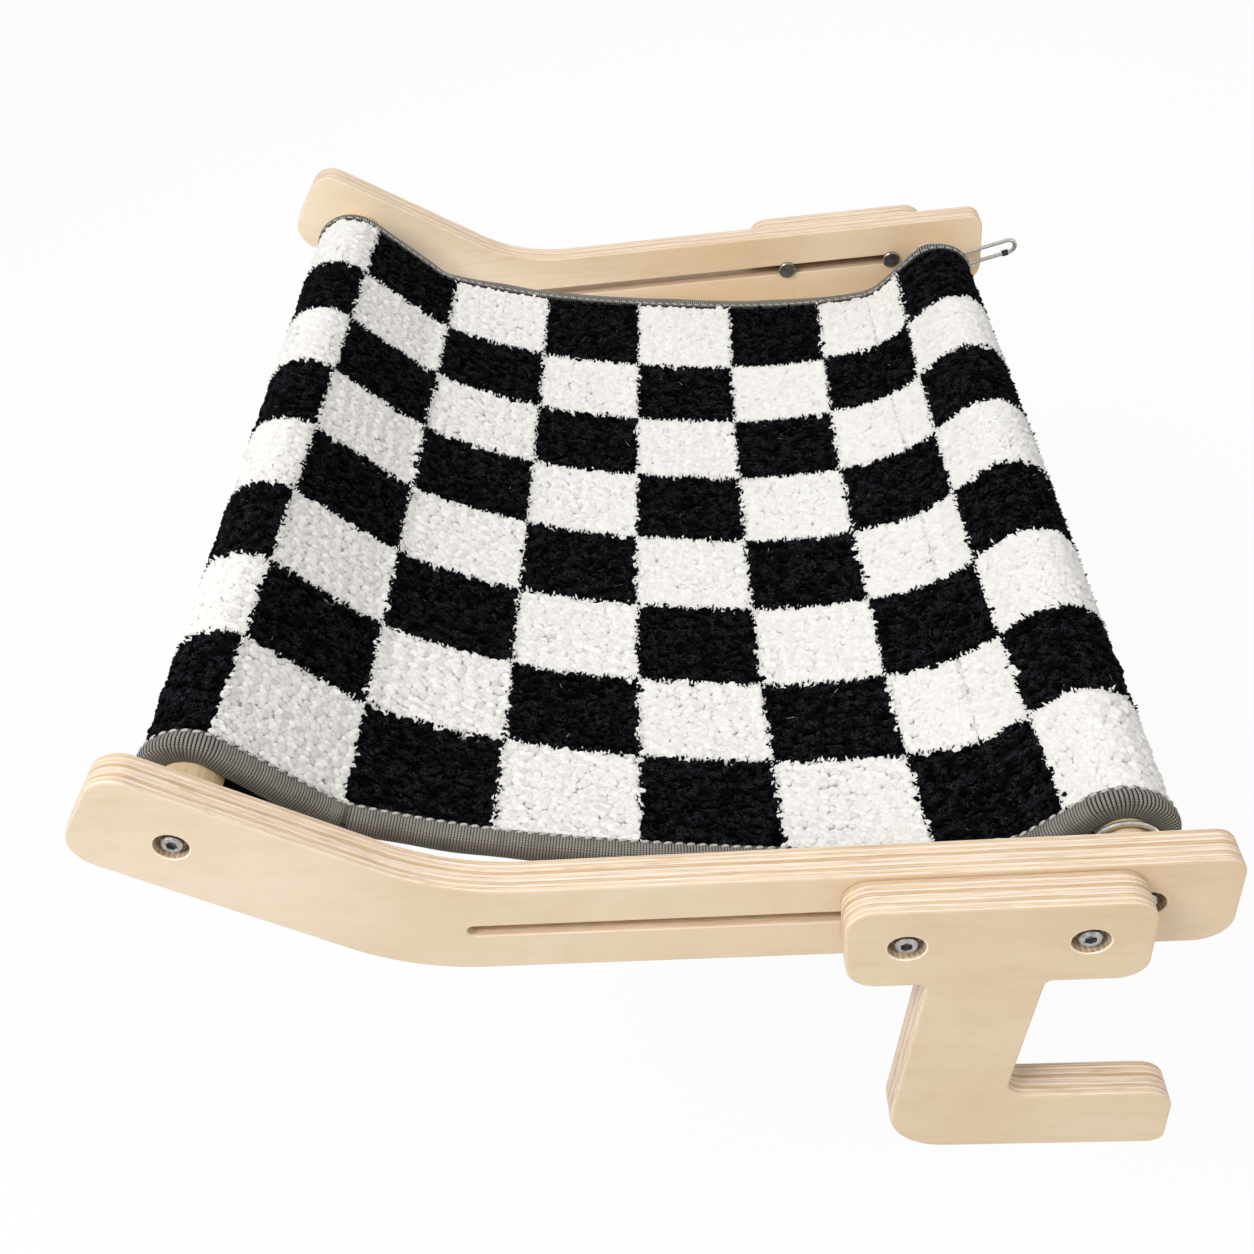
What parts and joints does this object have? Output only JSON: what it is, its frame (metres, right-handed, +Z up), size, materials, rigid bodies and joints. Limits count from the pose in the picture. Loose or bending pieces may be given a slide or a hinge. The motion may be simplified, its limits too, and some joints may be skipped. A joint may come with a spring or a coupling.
{
  "type": "cat hammock shelf",
  "caption": "Window-sill cat hammock: bent plywood arms joined by dowels carry a checked fleece sheet, with sliding hooks that grip under the sill.",
  "frame": {"origin": "the sill's top front edge, midway between the two arms", "axes": "+X from the room to the window, along the arms' flat stretch; +Y along the window sill; +Z up"},
  "size_m": [0.5462, 0.6566, 0.2916],
  "materials": {
    "plywood": "satin clear-coated birch plywood",
    "dowel_wood": "sanded turned wood",
    "bright_steel": "zinc-plated steel",
    "dark_steel": "dark nickel-plated steel",
    "brass": "plain brass",
    "rubber": "matt black rubber",
    "fleece": "black and white checked curly fleece",
    "webbing": "grey ribbed webbing"
  },
  "bodies": {
    "frame": {"near_arm": "plywood", "far_arm": "plywood", "front_dowel": "dowel_wood", "rear_dowel": "dowel_wood", "hammock_sheet": "fleece", "near_webbing": "webbing", "far_webbing": "webbing", "near_front_screw": "bright_steel", "near_front_washer": "bright_steel", "near_front_insert": "brass", "near_rear_screw": "bright_steel", "near_rear_washer": "bright_steel", "near_rear_insert": "brass", "far_front_screw": "bright_steel", "far_front_washer": "bright_steel", "far_front_insert": "brass", "far_rear_screw": "bright_steel", "far_rear_washer": "bright_steel", "far_rear_insert": "brass"},
    "near_hook_slider": {"near_hook": "plywood", "near_room_bolt": "bright_steel", "near_room_washer": "bright_steel", "near_room_nut": "dark_steel", "near_window_bolt": "bright_steel", "near_window_washer": "bright_steel", "near_window_nut": "dark_steel"},
    "far_hook_slider": {"far_hook": "plywood", "far_room_bolt": "bright_steel", "far_room_washer": "bright_steel", "far_room_nut": "dark_steel", "far_window_bolt": "bright_steel", "far_window_washer": "bright_steel", "far_window_nut": "dark_steel"},
    "near_clip_ring": {"near_clip": "bright_steel", "near_clip_tip": "rubber"},
    "far_clip_ring": {"far_clip": "bright_steel", "far_clip_tip": "rubber"}
  },
  "joints": [
    {"name": "near_hook_slide", "type": "slide", "parent": "frame", "child": "near_hook_slider", "axis": [-1, 0, 0], "range_m": [0, 0.196]},
    {"name": "far_hook_slide", "type": "slide", "parent": "frame", "child": "far_hook_slider", "axis": [-1, 0, 0], "range_m": [0, 0.196]},
    {"name": "near_clip_turn", "type": "hinge", "parent": "frame", "child": "near_clip_ring", "pos_m": [0.0447, -0.2781, 0.029], "axis": [0, 1, 0], "range_deg": [-10, 154]},
    {"name": "far_clip_turn", "type": "hinge", "parent": "frame", "child": "far_clip_ring", "pos_m": [0.0447, 0.287, 0.029], "axis": [0, -1, 0], "range_deg": [-10, 154]}
  ]
}
